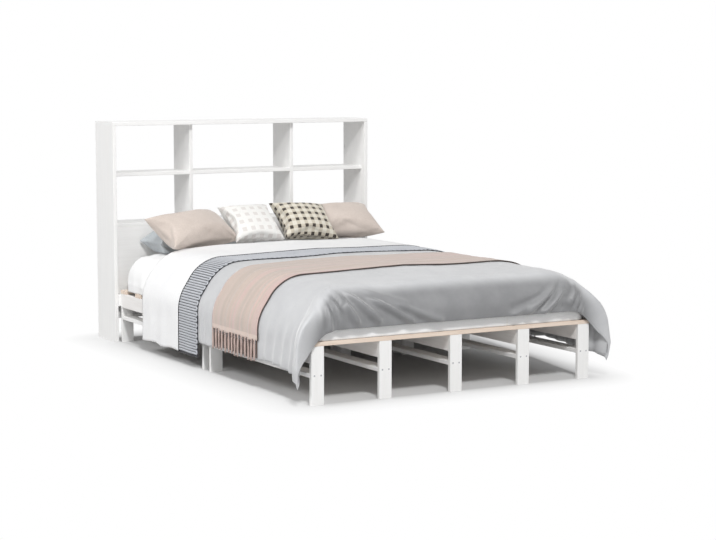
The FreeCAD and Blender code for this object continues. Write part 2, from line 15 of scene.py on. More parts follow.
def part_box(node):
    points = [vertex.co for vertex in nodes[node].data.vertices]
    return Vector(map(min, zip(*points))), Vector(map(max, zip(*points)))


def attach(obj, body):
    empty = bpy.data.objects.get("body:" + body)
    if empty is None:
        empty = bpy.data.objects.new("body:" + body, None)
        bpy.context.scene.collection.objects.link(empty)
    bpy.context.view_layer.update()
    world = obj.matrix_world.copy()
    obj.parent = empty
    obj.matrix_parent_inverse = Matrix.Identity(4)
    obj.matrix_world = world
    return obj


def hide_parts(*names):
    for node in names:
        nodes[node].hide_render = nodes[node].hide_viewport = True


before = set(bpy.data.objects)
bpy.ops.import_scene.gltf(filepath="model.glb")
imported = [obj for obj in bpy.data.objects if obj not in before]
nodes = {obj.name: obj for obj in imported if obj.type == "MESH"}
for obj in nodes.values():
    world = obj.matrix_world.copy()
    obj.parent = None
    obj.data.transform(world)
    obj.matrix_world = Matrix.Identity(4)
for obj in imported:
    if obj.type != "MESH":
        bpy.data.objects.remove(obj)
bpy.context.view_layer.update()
foot_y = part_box("foot_leg_1")[0].y * 1000.0

# -------- small helpers


def smooth(t):
    t = np.clip(t, 0.0, 1.0)
    return t * t * (3 - 2 * t)


def adjust(thing, **values):
    """Sets properties, or the inputs of a node by their names, with _ for a space."""
    for key, value in values.items():
        if hasattr(thing, key):
            setattr(thing, key, value)
        else:
            thing.inputs[key.replace("_", " ")].default_value = value
    return thing


def new_object(name, data):
    thing = bpy.data.objects.new(name, data)
    bpy.context.scene.collection.objects.link(thing)
    return thing


def put_mesh(name, points, faces, materials, uv=None, index=None):
    """A mesh piece from laid-out millimetres; rides on the root body."""
    p = (np.array(points, float).reshape(-1, 3) + (0.0, foot_y, 0.0)) / 1000.0
    mesh = bpy.data.meshes.new(name)
    mesh.from_pydata(p.tolist(), [], [list(map(int, f)) for f in faces])
    if uv is not None:
        layer = mesh.uv_layers.new(name="cloth")
        loops = np.zeros(len(mesh.loops), np.int32)
        mesh.loops.foreach_get("vertex_index", loops)
        layer.data.foreach_set("uv", np.asarray(uv, np.float32)[loops].ravel())
    for material in materials:
        mesh.materials.append(material)
    if index is not None:
        mesh.polygons.foreach_set("material_index", np.asarray(index, np.int32))
    mesh.polygons.foreach_set("use_smooth", np.ones(len(mesh.polygons), bool))
    mesh.validate()
    mesh.update()
    piece = new_object(name, mesh)
    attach(piece, "root")
    return piece


def unit(v):
    return v / np.linalg.norm(v, axis=-1, keepdims=True)


def grid_faces(rows, columns, offset=0, flip=False):
    """Quads of a grid of rows x columns points, row by row."""
    faces = []
    for r in range(rows - 1):
        for c in range(columns - 1):
            a = offset + r * columns + c
            quad = (a, a + 1, a + 1 + columns, a + columns)
            faces.append(quad[::-1] if flip else quad)
    return faces


def grid_rim(rows, columns):
    """The points round the edge of such a grid, in order."""
    rim = [(0, c) for c in range(columns)]
    rim += [(r, columns - 1) for r in range(1, rows)]
    rim += [(rows - 1, c) for c in range(columns - 2, -1, -1)]
    rim += [(r, 0) for r in range(rows - 2, 0, -1)]
    return [r * columns + c for r, c in rim]


def join_rings(faces, upper, lower):
    """Quads between two closed rings of the same length."""
    faces.extend(zip(upper, lower, lower[1:] + lower[:1], upper[1:] + upper[:1]))


def add_tube(points, faces, path, wide, tall, sides):
    """A closed tube round a path, with the two half widths given as vectors."""
    start = len(points)
    for q, w, t in zip(path, wide, tall):
        for m in range(sides):
            turn = 2 * math.pi * m / sides
            points.append(q + w * math.cos(turn) + t * math.sin(turn))
    for j in range(len(path) - 1):
        for m in range(sides):
            a = start + j * sides + m
            b = start + j * sides + (m + 1) % sides
            faces.append((a, b, b + sides, a + sides))
    faces.append(tuple(start + m for m in range(sides - 1, -1, -1)))
    faces.append(tuple(start + (len(path) - 1) * sides + m for m in range(sides)))


def sheet_normals(p):
    """Normals of a grid of points, p[row, column]."""
    n = np.cross(np.gradient(p, axis=0), np.gradient(p, axis=1))
    return n / np.maximum(np.linalg.norm(n, axis=2, keepdims=True), 1e-9)


def closed_from(outer, inner):
    """Points and quads of the closed solid between two grids of the same size."""
    rows, columns = outer.shape[:2]
    count = rows * columns
    faces = grid_faces(rows, columns, flip=True) + grid_faces(rows, columns, count)
    ids = grid_rim(rows, columns)
    for a, b in zip(ids, ids[1:] + ids[:1]):
        faces.append((a, b, b + count, a + count))
    return np.concatenate((outer.reshape(-1, 3), inner.reshape(-1, 3))), faces


def noisy(points, scale, seed=0.0):
    """Smooth noise from -1 to 1 at each point, size of its features in millimetres."""
    flat = np.asarray(points, float).reshape(-1, 3) / scale
    values = [noise.noise(Vector((x + seed, y - seed, z + 2 * seed))) for x, y, z in flat]
    return np.array(values).reshape(np.asarray(points).shape[:-1])


def rounded_path(corners, radii, step=2.0):
    """Points along a polyline whose inner corners are rounded."""
    corners = [np.array(c, float) for c in corners]
    out = [corners[0]]
    for k in range(1, len(corners) - 1):
        before, after = corners[k - 1] - corners[k], corners[k + 1] - corners[k]
        before, after = unit(before), unit(after)
        half = math.acos(max(-1.0, min(1.0, float(before @ after)))) / 2
        reach = radii[k - 1] / math.tan(half)
        start, end = corners[k] + before * reach, corners[k] + after * reach
        centre = corners[k] + unit(before + after) * (radii[k - 1] / math.sin(half))
        for t in np.linspace(0, 1, 25):
            chord = start * (1 - t) + end * t - centre
            out.append(centre + unit(chord) * radii[k - 1])
    out.append(corners[-1])
    out = np.array(out)
    length = np.concatenate(([0], np.cumsum(np.linalg.norm(np.diff(out, axis=0), axis=1))))
    even = np.arange(0, length[-1], step)
    return even, np.column_stack([np.interp(even, length, out[:, k]) for k in range(2)])


# -------- node materials


def new_material(name):
    material = bpy.data.materials.new(name)
    material.use_nodes = True
    tree = material.node_tree
    return material, tree, tree.nodes["Principled BSDF"]


def add(tree, kind, **values):
    return adjust(tree.nodes.new(kind), **values)


def ramp(tree, source, stops):
    node = tree.nodes.new("ShaderNodeValToRGB")
    element = node.color_ramp.elements
    while len(element) < len(stops):
        element.new(0.5)
    for e, (place, colour) in zip(element, stops):
        e.position = place
        e.color = (*colour, 1.0)
    tree.links.new(source, node.inputs["Fac"])
    return node.outputs["Color"]


def feed(tree, value, socket):
    """Gives a socket its source, or its plain value."""
    if isinstance(value, bpy.types.NodeSocket):
        tree.links.new(value, socket)
    else:
        socket.default_value = (*value, 1.0) if isinstance(value, tuple) else value


def mix(tree, factor, a, b):
    node = add(tree, "ShaderNodeMix", data_type="RGBA")
    for value, socket in ((factor, 0), (a, 6), (b, 7)):
        feed(tree, value, node.inputs[socket])
    return node.outputs[2]


def maths(tree, operation, a, b=0.0):
    node = add(tree, "ShaderNodeMath", operation=operation)
    feed(tree, a, node.inputs[0])
    feed(tree, b, node.inputs[1])
    return node.outputs[0]


def parts_of(tree, vector):
    node = tree.nodes.new("ShaderNodeSeparateXYZ")
    tree.links.new(vector, node.inputs[0])
    return node.outputs


def recolour(tree, shader, colour):
    tree.links.new(colour, shader.inputs["Base Color"])


def place(tree, kind="Object", scale=(1.0, 1.0, 1.0)):
    """A point's own place on its piece, in metres."""
    coords = tree.nodes.new("ShaderNodeTexCoord")
    mapping = add(tree, "ShaderNodeMapping", Scale=scale)
    tree.links.new(coords.outputs[kind], mapping.inputs["Vector"])
    return mapping.outputs["Vector"]


def bump(tree, shader, height, strength, distance, before=None):
    node = add(tree, "ShaderNodeBump", Strength=strength, Distance=distance)
    tree.links.new(height, node.inputs["Height"])
    if before is not None:
        tree.links.new(before, node.inputs["Normal"])
    tree.links.new(node.outputs["Normal"], shader.inputs["Normal"])
    return node.outputs["Normal"]


def texture_noise(tree, vector, scale, detail=4.0, rough=0.55):
    node = add(tree, "ShaderNodeTexNoise", Scale=scale, Detail=detail, Roughness=rough)
    tree.links.new(vector, node.inputs["Vector"])
    return node.outputs["Fac"]


def wood(name, along, light, dark, roughness, grain):
    """Painted or bare pine: long soft grain, faint knots, brush marks in the paint."""
    material, tree, shader = new_material(name)
    stretch = [26.0, 26.0, 26.0]
    stretch[along] = 1.6
    grain_vector = place(tree, "Object", tuple(stretch))
    rings = texture_noise(tree, grain_vector, 3.0, 6.0, 0.62)
    fine = texture_noise(tree, grain_vector, 14.0, 3.0, 0.6)
    cloud = texture_noise(tree, place(tree), 2.4, 2.0)
    colour = ramp(tree, rings, ((0.30, dark), (0.58, light)))
    colour = mix(tree, maths(tree, "MULTIPLY", cloud, 0.25), colour,
                 tuple(0.97 * c for c in light))
    recolour(tree, shader, colour)
    tree.links.new(ramp(tree, fine, ((0.2, (roughness - 0.06,) * 3),
                                     (0.8, (roughness + 0.08,) * 3))),
                   shader.inputs["Roughness"])
    adjust(shader, Specular_IOR_Level=0.45)
    first = bump(tree, shader, rings, grain, 0.0012)
    bump(tree, shader, fine, grain * 0.6, 0.0004, first)
    return material


def woven(name, light, dark, roughness, thread, sheen=0.25, depth=0.25, cloud=0.5,
          specular=0.3):
    """A plain weave whose threads are about this many millimetres wide."""
    material, tree, shader = new_material(name)
    vector = place(tree)
    cells = []
    for axis in ("X", "Y", "Z"):
        wave = add(tree, "ShaderNodeTexWave", bands_direction=axis, Scale=160.0 / thread,
                   Distortion=0.6, Detail=1.0)
        tree.links.new(vector, wave.inputs["Vector"])
        cells.append(wave.outputs["Fac"])
    weave = maths(tree, "MULTIPLY", maths(tree, "ADD", cells[0], cells[1]), 0.5)
    weave = maths(tree, "MULTIPLY", maths(tree, "ADD", weave, cells[2]), 0.5)
    soft = texture_noise(tree, vector, 9.0, 4.0)
    slub = texture_noise(tree, vector, 160.0, 3.0)
    tone = maths(tree, "ADD", maths(tree, "MULTIPLY", soft, cloud),
                 maths(tree, "MULTIPLY", slub, 1.0 - cloud))
    colour = ramp(tree, tone, ((0.34, dark), (0.64, light)))
    recolour(tree, shader, colour)
    adjust(shader, Roughness=roughness, Specular_IOR_Level=specular, Sheen_Weight=sheen,
           Sheen_Roughness=0.45)
    first = bump(tree, shader, weave, depth, 0.0006)
    bump(tree, shader, slub, depth * 0.7, 0.0006, first)
    return material, tree, shader


paint = (0.86, 0.857, 0.848)
white_x = wood("white_pine_x", 0, paint, (0.825, 0.82, 0.81), 0.42, 0.05)
white_y = wood("white_pine_y", 1, paint, (0.825, 0.82, 0.81), 0.42, 0.05)
white_z = wood("white_pine_z", 2, paint, (0.83, 0.825, 0.815), 0.42, 0.05)
# painted shade: the rails under the slats get a warmer, slightly darker white than the paint,
# standing in for the pinkish shade under the bed
shaded_rail_wood = wood("warm_shaded_pine_y", 1, (0.85, 0.83, 0.815), (0.79, 0.765, 0.745), 0.5, 0.08)
slat_wood = wood("bare_pine_x", 0, (0.78, 0.66, 0.56), (0.68, 0.55, 0.45), 0.6, 0.2)
dowel_wood = wood("dowel_beech", 2, (0.74, 0.55, 0.38), (0.62, 0.44, 0.29), 0.6, 0.2)

zinc, zinc_tree, zinc_shader = new_material("zinc")
adjust(zinc_shader, Metallic=1.0, Base_Color=(0.50, 0.50, 0.52, 1.0))
zinc_grain = texture_noise(zinc_tree, place(zinc_tree), 900.0, 3.0)
zinc_tree.links.new(ramp(zinc_tree, zinc_grain, ((0.3, (0.32,) * 3), (0.7, (0.5,) * 3))),
                    zinc_shader.inputs["Roughness"])
bump(zinc_tree, zinc_shader, zinc_grain, 0.1, 0.0002)

ticking, _, _ = woven("ticking", (0.88, 0.875, 0.85), (0.80, 0.79, 0.76), 0.8, 1.2)
sheet_cloth, _, _ = woven("sheet_cotton", (0.90, 0.90, 0.895), (0.84, 0.84, 0.845), 0.78, 0.7,
                          0.2, 0.15)
blanket_cloth, _, _ = woven("blanket_knit", (0.88, 0.88, 0.88), (0.81, 0.81, 0.82), 0.9, 1.8,
                            0.35, 0.35)
duvet_cloth, duvet_tree, duvet_shader = woven(
    "duvet_sateen", (0.50, 0.505, 0.515), (0.44, 0.445, 0.458), 0.52, 0.5, 0.7, 0.10, 0.8, 0.9)


# -------- the wooden frame
finishes = (("screws", zinc), ("dowels", dowel_wood), ("slats", slat_wood),
            ("upper_rails", shaded_rail_wood), ("lower_rails", white_y), ("leg", white_z),
            ("panel_left", white_z), ("panel_right", white_z), ("divider", white_z))
for name, node in nodes.items():
    if not node.hide_render:
        node.data.materials.clear()
        node.data.materials.append(next((finish for word, finish in finishes if word in name),
                                        white_x))

# -------- how the duvet lies
duvet_half = 727.0              # centre plane to the hanging side
duvet_foot = -23.0
duvet_foot_hem = 312.0
head_edge = 1690.0
tongue_reach = 180.0            # how far its head edge goes on under the pillows
foot_crest = 478.3              # top of the foot shoulder, and how the top rises from it
foot_rise = 42.0
foot_run = 445.0
shoulder_y = 55.0
side_arc, side_path = rounded_path(
    [(0.0, 503.0), (613.0, 485.3), (duvet_half, 312.3), (duvet_half, 20.0)], [200.0, 190.0])
foot_arc, foot_path = rounded_path(
    [(560.0, 521.0), (shoulder_y, foot_crest), (duvet_foot, 385.3), (duvet_foot, 200.0)],
    [110.0, 100.0])
corner_x, corner_y = 545.0, 112.0
side_start = float(np.interp(corner_x, side_path[:, 0], side_arc))
foot_start = float(np.interp(-corner_y, -foot_path[:, 0], foot_arc))


def foot_shade():
    """Painted shade: the satin is coloured darker where the duvet hangs over the foot, standing
    in for the shade on its front face.
    """
    tree = duvet_tree
    parts = parts_of(tree, place(tree, "UV"))
    down = maths(tree, "MAXIMUM", maths(tree, "SUBTRACT", corner_y / 1000.0, parts["Y"]), 0.0)
    over = maths(tree, "SUBTRACT", maths(tree, "ABSOLUTE", parts["X"]), side_start / 1000.0)
    over = maths(tree, "MAXIMUM", over, 0.0)
    masks = []
    for value, low, high in ((maths(tree, "ARCTAN2", down, over), 0.62, 1.10),
                             (down, 0.035, 0.115)):
        node = add(tree, "ShaderNodeMapRange", interpolation_type="SMOOTHSTEP",
                   From_Min=low, From_Max=high)
        tree.links.new(value, node.inputs["Value"])
        masks.append(node.outputs["Result"])
    light = duvet_shader.inputs["Base Color"].links[0].from_socket
    soft = texture_noise(tree, place(tree), 9.0, 4.0)
    # painted shade: a darker grey for the front face over the foot, mixed in by the two masks
    dark = ramp(tree, soft, ((0.34, (0.160, 0.162, 0.168)), (0.64, (0.200, 0.202, 0.208))))
    recolour(tree, duvet_shader, mix(tree, maths(tree, "MULTIPLY", masks[0], masks[1]),
                                     light, dark))


foot_shade()


def side_at(a):
    """x and z at arc length a down the side, from where the corner starts."""
    return [np.interp(side_start + a, side_arc, side_path[:, k]) for k in (0, 1)]


def foot_at(b):
    """y and z at arc length b down the foot."""
    return [np.interp(foot_start + b, foot_arc, foot_path[:, k]) for k in (0, 1)]


def arc_to_side(z):
    """Arc length from the bed's centre line down to this height."""
    return float(np.interp(-z, -side_path[:, 1], side_arc))


def foot_fall(x, y):
    """How far the top has fallen at a place, towards the foot."""
    across = np.interp(np.minimum(np.abs(x), corner_x), side_path[:, 0], side_path[:, 1])
    along = foot_crest + foot_rise * np.clip((y - shoulder_y) / foot_run, 0.0, 1.0)
    blend = 8.0                 # the two slopes meet in a soft line this high
    less = np.clip(0.5 + 0.5 * (across - along) / blend, 0.0, 1.0)
    return across - (across * (1 - less) + along * less - blend * less * (1 - less))


side_crests = (  # y at 125 mm up, how it leans, its half width, how far it stands out
    (34.0, -0.10, 20.0, 17.0), (92.0, -0.16, 17.0, 15.0), (148.0, -0.20, 15.0, 13.0),
    (216.0, -0.24, 22.0, 15.0), (296.0, -0.22, 20.0, 10.0), (372.0, -0.16, 24.0, 10.0),
    (478.0, -0.05, 34.0, 5.0), (640.0, 0.03, 46.0, 4.5), (800.0, 0.0, 42.0, 4.0),
    (948.0, 0.30, 20.0, 9.0), (1010.0, 0.26, 17.0, 9.0), (1150.0, 0.0, 60.0, 3.5),
    (1340.0, 0.05, 60.0, 4.0), (1470.0, -0.04, 46.0, 4.5), (1600.0, 0.05, 40.0, 4.0),
)


def side_folds(y, z, side):
    """How far the hanging side stands out in folds."""
    drop = np.clip((400.0 - z) / 290.0, 0.0, 1.2)
    out = np.zeros_like(y)
    for crest_y, lean, width, rise in side_crests:
        across = (y - crest_y - lean * (z - 125.0) - 6.0 * side) / width
        out += rise * drop ** 1.2 * np.exp(-across * across)
    return out


def top_waves(x, y):
    """Soft waves of the filling on top."""
    wave = 2.2 * np.sin(x / 128.0 + 0.8 * np.sin(y / 210.0)) * np.cos(y / 170.0 + x / 600.0)
    return wave + 1.3 * np.sin((x + 1.7 * y) / 95.0)


front_crests = (  # from (x, z) to (x, z), how far it stands out, its half width
    (-641, 472, -671, 316, 10, 11), (-631, 476, -626, 309, 9, 9),
    (-616, 479, -570, 322, 11, 11), (-585, 478, -499, 338, 12, 12),
    (-534, 465, -397, 339, 12, 13), (-448, 442, -235, 331, 11, 13),
    (-331, 407, -93, 319, 9, 14), (-470, 470, -250, 400, 5, 14),
    (709, 417, 643, 311, 9, 10), (668, 440, 600, 308, 10, 10),
    (658, 452, 557, 313, 11, 11), (600, 446, 440, 317, 11, 12),
    (530, 430, 354, 322, 10, 12), (445, 385, 278, 315, 8, 13),
)
front_depth = 1.6


def front_folds(x, z):
    """Folds that fan out over the foot from the two upper corners."""
    out = np.zeros_like(x)
    for x0, z0, x1, z1, rise, width in front_crests:
        way = np.array((x1 - x0, z1 - z0), float)
        length = float(np.hypot(*way))
        way /= length
        along = (x - x0) * way[0] + (z - z0) * way[1]
        off = (x - x0) * way[1] - (z - z0) * way[0]
        spread = width * (0.75 + 0.5 * np.clip(along / length, 0, 1))
        ends = smooth((along + 25.0) / 110.0) * (1.0 - smooth((along - length + 14.0) / 45.0))
        crest = np.exp(-(off / spread) ** 2)
        crest -= 0.45 * np.exp(-((off - 1.9 * spread) / spread) ** 2)
        out += front_depth * rise * ends * crest
    return out


def ear_reach(z):
    """How far the flared corner stands out from the rounded corner, by height."""
    heights = [70.0, 95.0, 159.0, 205.0, 273.0, 342.0, 388.0, 417.0, 450.0, 500.0]
    reach = [84.0, 92.0, 104.0, 98.0, 86.0, 70.0, 46.0, 24.0, 6.0, 0.0]
    return np.interp(z, heights, reach)


def duvet_surface(u, y, b):
    """Outer surface of the duvet: u across the cloth, y along it, b down over the foot."""
    side = np.where(u < 0, -1.0, 1.0)
    a = np.maximum(np.abs(u) - side_start, 0.0)
    b = np.maximum(b, 0.0)
    r = np.hypot(a, b)
    turn = np.where(r < 1e-6, 0.0, np.arctan2(b, np.maximum(a, 1e-6)))
    sx, sz = side_at(r)
    fy, fz = foot_at(r)
    power = 2.0 / (2.0 + 1.8 * smooth(r / 220.0))
    out_x = (sx - corner_x) * np.abs(np.cos(turn)) ** power
    out_y = (corner_y - fy) * np.abs(np.sin(turn)) ** power
    # heights of the top, the side and the foot, and of the corner between the last two
    on_top = np.minimum(np.abs(u), side_start)
    top_x, top_z = (np.interp(on_top, side_arc, side_path[:, k]) for k in (0, 1))
    y_here = np.where(b > 0, corner_y, y)
    z_top = top_z - foot_fall(top_x, y_here) * smooth((top_z - 230.0) / 240.0)
    z_side = sz - foot_fall(np.full_like(u, corner_x), y_here) * smooth((sz - 230.0) / 240.0)
    z_front = fz + (z_top - foot_at(0.0)[1]) * smooth((fz - 300.0) / 170.0)
    share = np.cos(turn) ** 2
    in_corner = (a > 0) & (b > 0)
    z = np.where(in_corner, share * z_side + (1 - share) * z_front,
                 np.where(a > 0, z_side, np.where(b > 0, z_front, z_top)))
    x = np.where(a > 0, corner_x + out_x, top_x)
    y_out = np.where(b > 0, np.where(a > 0, corner_y - out_y, fy), y)
    # the flared corner
    degrees = np.degrees(turn)
    lobe = np.exp(-((degrees - 27.0) / 19.0) ** 2) * np.where(in_corner, 1.0, 0.0)
    lobe *= smooth(degrees / 10.0)
    reach = ear_reach(z) * lobe
    x = x + 0.80 * reach
    y_out = y_out - 0.60 * reach
    return np.stack((side * x, y_out, z), axis=-1)


def fold_push(p, u, b):
    """How far folds and waves lift a point of the plain surface, along its normal."""
    x, y, z = p[..., 0], p[..., 1], p[..., 2]
    side = np.where(u < 0, -1.0, 1.0)
    a = np.maximum(np.abs(u) - side_start, 0.0)
    push = np.where(a > 0, side_folds(y, z, side) * (1.0 - smooth((-y - 2.0) / 30.0)), 0.0)
    push = push * smooth(a / 120.0)
    push = push + np.where(b > 0, front_folds(x, z) * smooth(b / 60.0), 0.0) \
        * (1.0 - smooth((a - 60.0) / 80.0))
    push = push + top_waves(x, y) * smooth((z - 380.0) / 60.0)
    # the right shoulder is fuller than the left
    fuller = np.exp(-((a - 130.0) / 100.0) ** 2) * smooth((np.abs(x) - 200.0) / 330.0)
    return push + 22.0 * fuller * (side > 0) * smooth((y + 40.0) / 200.0)


def surface_points(u, y, b, offset=0.0):
    """The folded surface and its normals, or a surface at an offset outside it."""
    p = duvet_surface(u, y, b)
    n = sheet_normals(p)
    return p + n * (fold_push(p, u, b) + offset)[..., None], n


def side_hem(y):
    """Height of the duvet's side hem along the bed."""
    return np.interp(y, [-60.0, 29.0, 118.0, 209.0, 378.0, 480.0, 1690.0],
                     [104.0, 108.0, 117.0, 131.0, 142.0, 128.0, 126.0])


# -------- duvet
def build_duvet():
    inner_columns, side_columns = 171, 44
    head_rows, foot_rows = 150, 56
    # columns over the top, and those that hang on each side of it
    share = np.concatenate((np.linspace(-1, 0, side_columns, endpoint=False),
                            np.zeros(inner_columns), np.linspace(0, 1, side_columns + 1)[1:]))
    core = np.concatenate((np.full(side_columns, -side_start),
                           np.linspace(-side_start, side_start, inner_columns),
                           np.full(side_columns, side_start)))
    b_max = float(np.interp(-duvet_foot_hem, -foot_path[:, 1], foot_arc)) - foot_start
    rows, columns = head_rows + foot_rows, len(core)
    u, y, b = np.zeros((3, rows, columns))
    x_core = np.interp(np.abs(core), side_arc, side_path[:, 0]) * np.sign(core)
    tongue = smooth((x_core + 115.0) / 70.0) * (1 - smooth((x_core - 600.0) / 90.0))
    on_top = np.abs(share) == 0
    head = head_edge + (tongue_reach * tongue + 5.0 * np.sin(core / 60.0)) * on_top
    for r in range(rows):
        if r < head_rows:
            y[r] = head + (corner_y - head) * r / (head_rows - 1)
        else:
            y[r] = corner_y
            b[r] = b_max * (r - head_rows + 1) / foot_rows
        hem_y = np.where(b[r] > 0, corner_y - b[r] * 0.7, y[r])
        hem_arc = np.interp(-side_hem(hem_y), -side_path[:, 1], side_arc) - side_start
        u[r] = core + share * hem_arc
    outer, normals = surface_points(u, y, b)
    fine = noisy(outer, 70.0, 3.1) * 1.6 + noisy(outer, 30.0, 7.7) * 0.5
    outer = outer + normals * fine[..., None]
    # thickness: full on top, a sewn edge at every hem
    thick = np.interp(outer[..., 2], [100.0, 330.0, 440.0, 480.0, 503.0],
                      [17.0, 18.0, 22.0, 27.0, 40.0])
    row, column = np.arange(rows)[:, None], np.arange(columns)[None, :]
    edge = np.minimum(np.minimum(row * 11.0, (rows - 1 - row) * 6.5),
                      np.minimum(column, columns - 1 - column) * 9.5)
    full = np.sqrt(np.clip(1 - (1 - np.clip(edge / 26.0, 0, 1)) ** 2, 0, 1))
    hem_thickness = 5.0
    thick = hem_thickness + (thick - hem_thickness) * full
    points, faces = closed_from(outer - normals * (thick * 0.5 * (1 - full))[..., None],
                                outer - normals * thick[..., None])
    uv = np.stack((u, y - b), axis=-1).reshape(-1, 2) / 1000.0
    piece = put_mesh("duvet_cover", points, faces, [duvet_cloth],
                     np.concatenate((uv, uv)))
    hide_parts("duvet")


build_duvet()

# -------- cloths across the bed


def build_band(name, y_range, hem, thick, material, node, columns, rows,
               lift=None, hem_wave=0.0):
    """A cloth over the duvet between two y lines, down to a hem height at both sides."""
    reach = arc_to_side(hem)
    u = np.linspace(-reach, reach, columns)[None, :] * np.ones((rows, 1))
    y = np.linspace(*y_range, rows)[:, None] * np.ones((1, columns))
    u = u * (1.0 + hem_wave * np.sin(y / 37.0) * (np.abs(u) / reach) ** 6)
    u, y = u[::-1], y[::-1]
    p, n = surface_points(u, y, np.zeros_like(u), cloth_gap)
    if lift is not None:
        p = p + n * lift(p, u, y)[..., None]
    points, faces = closed_from(p + n * thick, p)
    uv = np.stack((u, y), axis=-1).reshape(-1, 2) / 1000.0
    piece = put_mesh(name, points, faces, [material], np.concatenate((uv, uv)))
    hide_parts(node)
    return piece


def blanket_waves(p, u, y):
    creases = noisy(p, 150.0, 4.4) * 1.8 + noisy(p, 45.0, 9.0) * 0.5
    head = smooth((y - 1540.0) / 160.0)
    return 2.4 + creases + 3.0 * head * (0.5 + 0.5 * np.sin(u / 62.0)) ** 2


cloth_gap = 1.6                 # duvet to the cloths that lie on it
blanket_hem, border_hem, throw_hem = 62.0, 56.0, 216.0
border_foot, border_head = 1062.0, 1270.0
throw_foot, throw_head = 440.0, 900.0
blanket_piece = build_band("blanket_cloth", (border_head - 2.0, 1700.0), blanket_hem, 3.0,
                           blanket_cloth, "blanket", 230, 52,
                           blanket_waves, 0.004)

# the ribbed border: a dark ground cloth with looped cords laid across it
border_ground, _, _ = woven("border_ground", (0.030, 0.032, 0.038), (0.018, 0.019, 0.024), 0.9,
                            1.0)
border_cord, _, _ = woven("border_cord", (0.52, 0.535, 0.565), (0.43, 0.445, 0.48), 0.85, 0.9,
                          0.3, 0.4)
border_reach = arc_to_side(border_hem)
ground_piece = build_band("border_ground_cloth", (border_foot, border_head), border_hem, 2.0,
                          border_ground, "blanket_ribbed_border", 300, 24)


def lay_on_duvet(arc, along, height):
    """Points a height above the duvet, their normals and the way along the bed there."""
    step = 4.0
    here, beside, beyond = (
        duvet_surface((arc + du)[None, :], (along + dy)[None, :], np.zeros((1, len(arc))))[0]
        for du, dy in ((0, 0), (step, 0), (0, step)))
    n = unit(np.cross(beside - here, beyond - here))
    push = fold_push(here, arc, np.zeros_like(arc))
    return here + n * (push + height)[:, None], n, unit(beyond - here)


def build_cords():
    """Cords laid up and down across the border, each pair joined by a loop at its foot."""
    pitch, half_width, half_height = 12.6, 5.3, 2.4
    straight_points, sides = 16, 8
    loops = int(2 * border_reach / (2 * pitch))
    points, faces, uv = [], [], []
    for k in range(loops):
        a0 = -loops * pitch + pitch / 2 + 2 * pitch * k
        turn_y = border_foot + 5.0 + 1.6 * math.sin(k * 2.39) + pitch / 2
        straight = np.linspace(border_head - 6.0, turn_y, straight_points)
        bend = np.linspace(math.pi / 2, -math.pi / 2, 9)[1:-1]
        arc = np.concatenate((np.full(straight_points, a0),
                              a0 + pitch / 2 - np.sin(bend) * pitch / 2,
                              np.full(straight_points, a0 + pitch)))
        along = np.concatenate((straight, turn_y - np.cos(bend) * pitch / 2, straight[::-1]))
        path, n, _ = lay_on_duvet(arc, along, 5.4)
        wide = unit(np.cross(n, unit(np.gradient(path, axis=0))))
        add_tube(points, faces, path, wide * half_width, n * half_height, sides)
        uv.extend(np.repeat(np.column_stack((along, arc)) / 1000.0, sides, axis=0))
    return put_mesh("border_cords", points, faces, [border_cord], uv)


cord_piece = build_cords()


def edge_tube(name, y_at, hem, radius, height, material, sides=8, columns=260):
    """A piping or edge tape that runs across the bed along one y line."""
    reach = arc_to_side(hem)
    arc = np.linspace(-reach, reach, columns)
    path, n, lengthwise = lay_on_duvet(arc, np.array([y_at(a) for a in arc]), height)
    points, faces = [], []
    add_tube(points, faces, path, lengthwise * radius, n * radius, sides)
    uv = [(a / 1000.0, m / sides * 0.02) for a in arc for m in range(sides)]
    return put_mesh(name, points, faces, [material], uv)


piping = edge_tube("border_piping", lambda a: border_head - 3.0, border_hem + 2.0, 3.6, 6.0,
                   border_ground)

# -------- throw
throw_cloth, throw_tree, throw_shader = woven("throw_wool", (0.50, 0.41, 0.355),
                                              (0.42, 0.34, 0.295), 0.85, 1.4, 0.5, 0.4)
split = parts_of(throw_tree, place(throw_tree, "UV"))
streak_vector = throw_tree.nodes.new("ShaderNodeCombineXYZ")
for target, source, scale in (("X", "Y", 46.0), ("Y", "X", 0.7)):
    throw_tree.links.new(maths(throw_tree, "MULTIPLY", split[source], scale),
                         streak_vector.inputs[target])
streak = texture_noise(throw_tree, streak_vector.outputs[0], 1.0, 3.0, 0.6)
streaks = ramp(throw_tree, streak, ((0.38, (0.47, 0.395, 0.345)), (0.50, (0.52, 0.425, 0.37)),
                                    (0.62, (0.56, 0.41, 0.375))))
hang_edge = maths(throw_tree, "GREATER_THAN", maths(throw_tree, "ABSOLUTE", split["X"]),
                  arc_to_side(throw_hem + 24.0) / 1000.0)
recolour(throw_tree, throw_shader, mix(throw_tree, hang_edge, streaks, (0.62, 0.50, 0.44)))


def throw_waves(p, u, y):
    pleat = 1.5 * (0.5 + 0.5 * np.sin((y + 18.0 * np.sin(u / 240.0)) / 11.5)) ** 2
    pleat += 3.2 * np.exp(-((y - 560.0 - 0.05 * u) / 13.0) ** 2)
    pleat += 2.4 * np.exp(-((y - 720.0 + 0.03 * u) / 16.0) ** 2)
    return 1.0 + pleat + noisy(p, 60.0, 5.2) * 1.0


throw_piece = build_band("throw_cloth", (throw_foot, throw_head), throw_hem, 3.0, throw_cloth,
                         "throw", 240, 92, throw_waves, 0.003)
